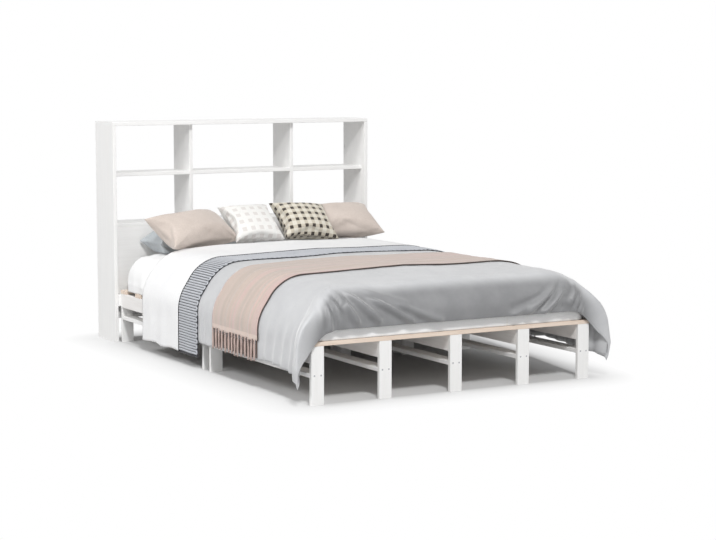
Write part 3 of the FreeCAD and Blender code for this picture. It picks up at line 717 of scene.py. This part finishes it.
# partly painted shade: the near-black tube along the throw's near edge is a dark edging, with
# the shadow under the folded edge painted into its colour
throw_edge_dark_and_shade_cloth, _, _ = woven("throw_edge", (0.10, 0.075, 0.065), (0.06, 0.045, 0.04), 0.9,
                               0.8)
throw_edge_dark_and_shade = edge_tube("throw_edge_seam_and_shade",
                       lambda a: throw_foot - 1.5 + 1.5 * math.sin(a / 70.0), throw_hem, 2.6,
                       5.0, throw_edge_dark_and_shade_cloth, 6)

yarn_light, _, _ = woven("fringe_light", (0.56, 0.43, 0.385), (0.44, 0.335, 0.30), 0.9, 0.8)
yarn_dark, _, _ = woven("fringe_dark", (0.13, 0.085, 0.07), (0.07, 0.05, 0.045), 0.9, 0.8)


def build_fringe():
    """Tassels along both hems: light ones with a knot, dark ones between them."""
    points, faces, index = [], [], []
    sides = 6

    def strand(path, radii, material):
        path, radii = np.array(path), np.array(radii)[:, None]
        tangent = unit(np.gradient(path, axis=0))
        side_way = unit(np.cross(tangent, (1.0, 0.0, 0.0)))
        add_tube(points, faces, path, side_way * radii, np.cross(tangent, side_way) * radii,
                 sides)
        index.extend([material] * (len(faces) - len(index)))

    rng = np.random.default_rng(11)
    tassels = 28
    pitch = (throw_head - throw_foot) / tassels
    for side in (-1, 1):
        for k in range(tassels):
            y0 = throw_foot + (k + 0.5) * pitch
            light = k % 2 == 1
            top, low = (lay_on_duvet(np.array([side * arc_to_side(throw_hem + drop)]),
                                     np.array([y0]), height)[0][0]
                        for drop, height in ((5.0, 4.0), (-100.0, 3.6)))
            if side * low[0] < side * top[0] - 2.0:
                low[0] = top[0] - side * 2.0
            length = (96.0 if light else 84.0) + rng.uniform(-5, 5)
            strands = 6 if light else 4
            for m in range(strands):
                spread = (m - (strands - 1) / 2) / (strands / 2)
                path, radii = [], []
                sway = rng.uniform(-1, 1, 3)
                for t in np.linspace(0, 1, 9):
                    neck = 1 - 0.62 * math.exp(-((t - 0.13) / 0.09) ** 2)
                    dy = spread * (3.6 + 2.4 * t) * neck + sway[0] * 2.2 * t * t \
                        + 0.7 * math.sin(9 * t + sway[1] * 3)
                    dx = side * ((m % 2) * 1.6 * neck + (1.4 if light else 0.2)
                                 + 0.7 * math.sin(7 * t + sway[2] * 3))
                    path.append((top[0] * (1 - t) + low[0] * t + dx, y0 + dy,
                                 top[2] - length * t))
                    radii.append((1.75 if light else 1.6) * (1 - 0.35 * t ** 3))
                strand(path, radii, 0 if light else 1)
            if light:  # the knot
                swell = [(t, math.sin(math.pi * t)) for t in np.linspace(0, 1, 7)]
                strand([(top[0] + side * 2.6, y0 - 4.6 + 9.2 * t, top[2] - 0.13 * length - w)
                        for t, w in swell], [2.0 + 1.3 * w for _, w in swell], 0)
    piece = put_mesh("throw_tassels", points, faces, [yarn_light, yarn_dark],
                     None, index)
    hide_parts("throw_fringe")
    return piece


fringe_piece = build_fringe()

# -------- mattress and fitted sheet
mattress_top = 450.3
mattress_x, mattress_y = 700.0, 1000.0  # half its width and length
mattress_corner = 60.0
under_mattress = 265.6
_, sheet_side_path = rounded_path(
    [(0.0, mattress_top), (595.0, mattress_top), (mattress_x, 300.3),
     (mattress_x, under_mattress)], [100.0, 40.0])
_, sheet_end_path = rounded_path(
    [(0.0, mattress_top), (948.0, mattress_top), (mattress_y, 365.3),
     (mattress_y, under_mattress)], [60.0, 60.0])
bed_middle_y = 1008.0


def soft_block(grow, low, wrinkles):
    """The mattress or its sheet, as a height field over the plan plus upright sides."""
    half_x, half_y, corner = (size + grow for size in (mattress_x, mattress_y, mattress_corner))
    flank, upright = 300.0, 302.0 + grow    # where the rounded shoulder ends
    # closely spaced near the edges
    xs, ys = (np.sign(v) * (1 - (1 - np.abs(v)) ** 1.35)
              for v in (np.linspace(-1, 1, 61), np.linspace(-1, 1, 87)))
    x, y = np.meshgrid(xs * half_x, ys * half_y)
    # pull the square's corners in to the rounded plan
    ax = np.maximum(np.abs(x) - (half_x - corner), 0.0)
    ay = np.maximum(np.abs(y) - (half_y - corner), 0.0)
    excess = 1.0 - np.maximum(ax, ay) / np.maximum(np.hypot(ax, ay), 1e-9)
    x, y = x - np.sign(x) * ax * excess, y - np.sign(y) * ay * excess
    falls = [mattress_top - np.maximum(np.interp(full - (half - np.abs(at)), path[:, 0],
                                                 path[:, 1]), flank)
             for full, half, at, path in ((mattress_x, half_x, x, sheet_side_path),
                                          (mattress_y, half_y, y, sheet_end_path))]
    z = np.maximum(mattress_top - np.hypot(*falls) + grow, upright)
    points = [tuple(q) for q in np.stack((x, y, z), axis=-1).reshape(-1, 3)]
    faces = grid_faces(len(ys), len(xs))
    ring = grid_rim(len(ys), len(xs))
    for level in np.linspace(upright, low, 7)[1:]:
        fresh = list(range(len(points), len(points) + len(ring)))
        points.extend([(*points[v][:2], level) for v in ring])
        join_rings(faces, ring, fresh)
        ring = fresh
    p = np.array(points)
    out = np.zeros_like(p)
    inset_x = np.clip((np.abs(p[:, 0]) - half_x + 140.0) / 140.0, 0, 1) ** 2
    inset_y = np.clip((np.abs(p[:, 1]) - half_y + 90.0) / 90.0, 0, 1) ** 2
    out[:, 0] = np.sign(p[:, 0]) * inset_x
    out[:, 1] = np.sign(p[:, 1]) * inset_y
    out[:, 2] = 1.0 - np.maximum(inset_x, inset_y)
    p = p + unit(out) * wrinkles(p)[:, None]
    p[:, 2] = np.maximum(p[:, 2], low)
    p[:, 1] += bed_middle_y
    return p, faces, ring


def sheet_wrinkles(p):
    """Soft gathers along the lower edge, stronger towards the corners."""
    z = p[:, 2]
    low = smooth((420.0 - z) / 120.0)
    run = np.where(np.abs(p[:, 0]) > 690.0, p[:, 1], p[:, 0])
    near = np.exp(-((1000.0 - np.abs(p[:, 1])) / 240.0) ** 2)
    gather = 0.9 * np.sin(run / 9.0 + (z - 265.0) / 36.0) + 0.6 * np.sin(run / 17.0 + 1.2)
    out = low * (gather * (0.25 + 0.75 * near) - 0.9) * 1.1 + noisy(p, 90.0, 2.2) * 0.8 - 0.4
    head = smooth((p[:, 1] - 640.0) / 180.0)
    shoulder = smooth((np.abs(p[:, 0]) - 585.0) / 55.0) * smooth((z - 296.0) / 70.0)
    out = out + 30.0 * head * shoulder
    side = smooth((np.abs(p[:, 0]) - 655.0) / 30.0)
    for reach, width, rise in ((60.0, 11.0, 5.0), (120.0, 13.0, 5.0), (190.0, 15.0, 4.0),
                               (265.0, 17.0, 3.0)):
        line = 985.0 - reach * (1.0 + 0.9 * (430.0 - z) / 165.0)
        out = out + rise * side * np.exp(-((p[:, 1] - line) / width) ** 2)
    return out


def build_sheet():
    p, faces, _ = soft_block(2.2, 266.2, sheet_wrinkles)
    piece = put_mesh("fitted_sheet_cloth", p, faces, [sheet_cloth])
    adjust(piece.modifiers.new("thickness", "SOLIDIFY"), thickness=0.0011, offset=-1.0)
    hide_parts("fitted_sheet")


def quilting(p):
    dimples = -0.4 * np.abs(np.sin(p[:, 0] / 42.0) * np.sin(p[:, 1] / 42.0))
    return np.where(p[:, 2] < 268.0, 0.0, dimples)


def build_mattress():
    low = 265.5
    p, faces, last = soft_block(-0.6, low, quilting)
    # the underside closes it
    ring = last
    points = [tuple(q) for q in p]
    for scale in np.linspace(1, 0, 9)[1:-1]:
        fresh = list(range(len(points), len(points) + len(last)))
        for v in last:
            points.append((p[v][0] * scale, bed_middle_y + (p[v][1] - bed_middle_y) * scale,
                           low))
        join_rings(faces, ring, fresh)
        ring = fresh
    faces.extend((a, len(points), b) for a, b in zip(ring, ring[1:] + ring[:1]))
    points.append((0.0, bed_middle_y, low))
    piece = put_mesh("mattress_block", points, faces, [ticking])
    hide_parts("mattress")


build_mattress()
build_sheet()

# -------- pillows
pillow_spec = (  # size, lean, roll and turn in degrees, place of the middle of its foot
    ("pillow_grey_blue", (500.0, 280.0, 110.0), 90.0, 0.0, 0.0, -345.0, 1795.0, 508.3),
    ("pillow_beige_left", (445.0, 260.0, 120.0), 59.0, -3.5, 15.0, -372.0, 1710.0, 510.7),
    ("pillow_beige_right", (445.0, 270.0, 110.0), 60.0, -2.0, -5.0, 480.0, 1814.0, 508.2),
    ("cushion_pale_plaid", (285.0, 272.0, 95.0), 52.0, -1.0, 0.0, -61.0, 1745.0, 505.9),
    ("cushion_dark_check", (320.0, 266.0, 95.0), 50.0, 5.0, 4.0, 246.0, 1768.0, 503.5),
)


def pillow_form(name, size, columns=46, rows=34):
    """A closed cushion as two grids that share their rim, in its own upright frame."""
    length, height, thickness = size
    bow = math.pi / 2 * 0.92
    s, t = (np.sin(np.linspace(-1, 1, count) * bow) / math.sin(bow) for count in (columns, rows))
    plump = 1.14 if name.startswith("pillow") else 1.08
    points, uv = [], []
    front = np.zeros((rows, columns), int)
    back = np.zeros((rows, columns), int)
    for j, q in enumerate(t):
        for i, w in enumerate(s):
            x = w * length / 2 * (1 - 0.075 * (1 - q * q))
            z = height / 2 * (1 + q * (1 - 0.075 * (1 - w * w)))
            fill = ((1 - abs(w) ** 2.4) * (1 - abs(q) ** 2.4)) ** 0.52
            half = thickness / 2 * fill * plump
            front[j, i] = len(points)
            points.append((x, -half, z))
            uv.append((x / 1000.0, z / 1000.0))
            if j in (0, rows - 1) or i in (0, columns - 1):
                back[j, i] = front[j, i]
            else:
                back[j, i] = len(points)
                points.append((x, half, z))
                uv.append((x / 1000.0 + 1.0, z / 1000.0))
    faces = []
    for j in range(rows - 1):
        for i in range(columns - 1):
            faces.append((front[j, i], front[j, i + 1], front[j + 1, i + 1], front[j + 1, i]))
            faces.append((back[j, i], back[j + 1, i], back[j + 1, i + 1], back[j, i + 1]))
    return np.array(points), faces, uv


def pillow_matrix(lean, roll, turn):
    """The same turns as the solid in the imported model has."""
    def about(axis, degrees):
        c, s = math.cos(math.radians(degrees)), math.sin(math.radians(degrees))
        if axis == "x":
            return np.array(((1, 0, 0), (0, c, -s), (0, s, c)))
        if axis == "y":
            return np.array(((c, 0, s), (0, 1, 0), (-s, 0, c)))
        return np.array(((c, -s, 0), (s, c, 0), (0, 0, 1)))
    return about("z", turn) @ about("x", -lean) @ about("y", roll)


def inflate(name, points, faces, pressure, frames):
    """Cloth simulation under pressure; returns the points it ends with."""
    mesh = bpy.data.meshes.new(name + "_sim")
    mesh.from_pydata((points / 1000.0).tolist(), [], [list(map(int, f)) for f in faces])
    mesh.update()
    work = new_object(name + "_sim", mesh)
    cloth = work.modifiers.new("cloth", "CLOTH")
    adjust(cloth.settings, quality=6, mass=0.25, tension_stiffness=22.0,
           compression_stiffness=16.0, shear_stiffness=8.0, bending_stiffness=0.08,
           use_pressure=True, uniform_pressure_force=pressure, shrink_min=-0.03)
    cloth.settings.effector_weights.gravity = 0.0
    adjust(cloth.collision_settings, use_collision=False, use_self_collision=False)
    adjust(cloth.point_cache, frame_start=1, frame_end=frames)
    scene = bpy.context.scene
    for f in range(1, frames + 1):
        scene.frame_set(f)
    graph = bpy.context.evaluated_depsgraph_get()
    result = work.evaluated_get(graph).to_mesh()
    out = np.array([v.co for v in result.vertices], float) * 1000.0
    work.evaluated_get(graph).to_mesh_clear()
    bpy.data.objects.remove(work)
    scene.frame_set(1)
    return out


def crumple(points, size, seed):
    """Creases that run from the corners and along the filled middle."""
    length, height, _ = size
    x, z = points[:, 0] / (length / 2), (points[:, 2] - height / 2) / (height / 2)
    out = np.zeros(len(points))
    for cx, cz, k in ((-1, -1, 0.0), (1, -1, 1.3), (-1, 1, 2.1), (1, 1, 3.4)):
        dx, dz = (cx - x) * cx, (cz - z) * cz
        far = np.hypot(dx, dz)
        angle = np.arctan2(dz, np.maximum(dx, 1e-3))
        out += np.sin(angle * 11.0 + k + seed) * np.exp(-((far - 0.35) / 0.3) ** 2)
    soft = noisy(points, 55.0, seed) * 1.6 + noisy(points, 130.0, seed + 5) * 1.4
    return out * 1.5 + soft


def support_height(x, y):
    """Top of what lies under the pillows: duvet, blanket or fitted sheet."""
    on_duvet = np.interp(np.abs(x), side_path[:, 0], side_path[:, 1])
    tongue = (x > -85.0) & (x < 690.0) & (y < head_edge + 182.0)
    covered = y < head_edge + 2.0
    sheet_top = np.interp(np.abs(x), sheet_side_path[:, 0], sheet_side_path[:, 1]) + 3.2
    height = np.where(covered | tongue, on_duvet + 1.0, sheet_top)
    return np.where(y < 1702.0, on_duvet + 9.5, height)


linen, _, _ = woven("pillow_linen", (0.64, 0.56, 0.505), (0.55, 0.475, 0.425), 0.75, 1.1, 0.35,
                    0.3)
blue_linen, _, _ = woven("pillow_grey_blue_linen", (0.47, 0.50, 0.52), (0.38, 0.41, 0.43),
                         0.8, 1.1, 0.3, 0.3)


def checked(name, size, ground, band, cross, share, rough):
    """A woven check: bands in both directions, darker where they cross."""
    material, tree, shader = woven(name, ground, tuple(0.9 * c for c in ground), rough, 1.3,
                                   0.3, 0.4)
    parts = parts_of(tree, place(tree, "UV"))
    bands = []
    for axis in ("X", "Y"):
        cell = maths(tree, "FRACT", maths(tree, "MULTIPLY", parts[axis], 1000.0 / size))
        bands.append(maths(tree, "LESS_THAN", cell, share))
    either = maths(tree, "MAXIMUM", bands[0], bands[1])
    both = maths(tree, "MULTIPLY", bands[0], bands[1])
    slub = texture_noise(tree, place(tree), 240.0, 3.0)
    tone = ramp(tree, slub, ((0.3, tuple(0.86 * c for c in ground)), (0.7, ground)))
    tone = mix(tree, either, tone, band)
    recolour(tree, shader, mix(tree, both, tone, cross))
    return material


dark_check = checked("cushion_dark_weave", 41.0, (0.74, 0.70, 0.61), (0.56, 0.51, 0.42),
                     (0.055, 0.045, 0.038), 0.45, 0.9)
pale_check = checked("cushion_pale_weave", 46.0, (0.85, 0.845, 0.82), (0.80, 0.79, 0.765),
                     (0.68, 0.65, 0.625), 0.5, 0.9)
pillow_look = {
    "pillow_grey_blue": (blue_linen, "pillow_grey_blue"),
    "pillow_beige_left": (linen, "pillow_beige"),
    "pillow_beige_right": (linen, "pillow_beige"),
    "cushion_pale_plaid": (pale_check, "cushion_pale"),
    "cushion_dark_check": (dark_check, "cushion_dark"),
}


def build_pillows():
    longest_move, gap_between = 16.0, 1.5
    shapes = {}
    for k, (name, size, lean, roll, turn, x, y, z) in enumerate(pillow_spec):
        points, faces, uv = pillow_form(name, size)
        rest = points.copy()
        swollen = inflate(name, points * np.array((1.0, 0.82, 1.0)), faces, 3.2, 18)
        move = swollen - points
        far = np.linalg.norm(move, axis=1, keepdims=True)
        points = points + move * np.minimum(1.0, longest_move / np.maximum(far, 1e-6))
        side = np.sign(rest[:, 1])
        inside = np.abs(rest[:, 1]) / (size[2] / 2)
        points[:, 1] += side * crumple(rest, size, 1.7 * k + 0.6) * smooth(inside * 1.6)
        world = points @ pillow_matrix(lean, roll, turn).T + np.array((x, y, z))
        world[:, 2] = np.maximum(world[:, 2], support_height(world[:, 0], world[:, 1]))
        shapes[name] = [world, faces, uv]
    # what lies behind gives way to what is pressed into it
    for back, front in (("pillow_grey_blue", "pillow_beige_left"),
                        ("pillow_beige_left", "cushion_pale_plaid"),
                        ("pillow_beige_right", "cushion_dark_check"),
                        ("cushion_pale_plaid", "cushion_dark_check")):
        tree = BVHTree.FromPolygons([Vector(q) for q in shapes[front][0]],
                                    [tuple(map(int, f)) for f in shapes[front][1]])
        for m, q in enumerate(shapes[back][0]):
            hit, normal, _, _ = tree.find_nearest(Vector(q), 90.0)
            if hit is not None and (Vector(q) - hit).dot(normal) < gap_between:
                shapes[back][0][m] = np.array(hit + normal * gap_between)
    for name, (world, faces, uv) in shapes.items():
        material, slot = pillow_look[name]
        piece = put_mesh(name + "_case", world, faces, [material], uv)
        adjust(piece.modifiers.new("soft", "SUBSURF"), levels=1, render_levels=1)
        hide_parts(name)


build_pillows()

# -------- floor, light and camera
floor_mesh = bpy.data.meshes.new("floor")
floor_mesh.from_pydata([(x, y, -0.0005) for x, y in ((-30, -30), (30, -30), (30, 30),
                                                     (-30, 30))], [], [(0, 1, 2, 3)])
floor = new_object("floor", floor_mesh)
floor_material, floor_tree, floor_shader = new_material("floor")
adjust(floor_shader, Base_Color=(0.62, 0.62, 0.62, 1.0), Roughness=0.9,
       Specular_IOR_Level=0.1)
glow = add(floor_tree, "ShaderNodeEmission", Strength=1.0)
path = floor_tree.nodes.new("ShaderNodeLightPath")
both = floor_tree.nodes.new("ShaderNodeMixShader")


def ground(*operation):
    return maths(floor_tree, *operation)


# plain white far from the bed, while the ground under it keeps its shadow, and under the
# far bays for some way out
where = parts_of(floor_tree, place(floor_tree))
beside = ground("MAXIMUM",
                ground("SUBTRACT", where["X"],
                       ground("ADD", ground("MULTIPLY", where["Y"], 0.2), 0.92)),
                ground("SUBTRACT", ground("MULTIPLY", where["X"], -1.0), 0.70))
ahead = ground("SUBTRACT", ground("ABSOLUTE", where["Y"]), 1.08)
squares = [ground("POWER", ground("MAXIMUM", reach, 0.0), 2.0) for reach in (beside, ahead)]
outside = ground("POWER", ground("ADD", *squares), 0.5)
outside = ground("POWER", ground("MINIMUM", ground("MULTIPLY", outside, 4.0), 1.0), 0.5)
seen = ground("MAXIMUM", path.outputs["Is Camera Ray"], path.outputs["Is Glossy Ray"])
floor_tree.links.new(ground("MULTIPLY", seen, outside), both.inputs[0])
floor_tree.links.new(floor_shader.outputs[0], both.inputs[1])
floor_tree.links.new(glow.outputs[0], both.inputs[2])
floor_tree.links.new(both.outputs[0], floor_tree.nodes["Material Output"].inputs["Surface"])
floor_mesh.materials.append(floor_material)

world = bpy.data.worlds.new("studio")
bpy.context.scene.world = world
world.use_nodes = True
sky_tree = world.node_tree
sky = adjust(sky_tree.nodes["Background"], Color=(1.0, 1.0, 1.0, 1.0))
ray = sky_tree.nodes.new("ShaderNodeLightPath").outputs
direct = maths(sky_tree, "MAXIMUM", ray["Is Camera Ray"],
               maths(sky_tree, "MAXIMUM", ray["Is Glossy Ray"], ray["Is Transmission Ray"]))
level = maths(sky_tree, "ADD", maths(sky_tree, "MULTIPLY", direct, 0.60), 0.40)
sky_tree.links.new(level, sky.inputs["Strength"])


def area_light(name, at, size, power):
    light = adjust(bpy.data.lights.new(name, "AREA"), shape="RECTANGLE", size=size[0],
                   size_y=size[1], energy=power)
    way = Vector((0.0, 0.0, 0.4)) - Vector(at)
    adjust(new_object(name, light), location=at, rotation_mode="QUATERNION",
           rotation_quaternion=way.to_track_quat("-Z", "Y"))


area_light("key", (-2.8, -6.6, 7.4), (1.4, 1.4), 590.0)
area_light("side", (-6.4, -0.8, 5.2), (2.0, 2.0), 240.0)
area_light("fill", (3.4, -6.0, 2.6), (4.0, 3.0), 30.0)

camera_object = new_object("camera", adjust(bpy.data.cameras.new("camera"), lens=92.23,
                                            sensor_width=36.0, clip_end=100.0))
camera_object.location = (-4.2085, foot_y / 1000.0 - 6.5711, 1.3950)
camera_object.rotation_euler = (math.radians(90.0 - 6.36), 0.0, math.radians(-29.54))
bpy.context.scene.camera = camera_object
bpy.context.scene.view_settings.view_transform = "Standard"
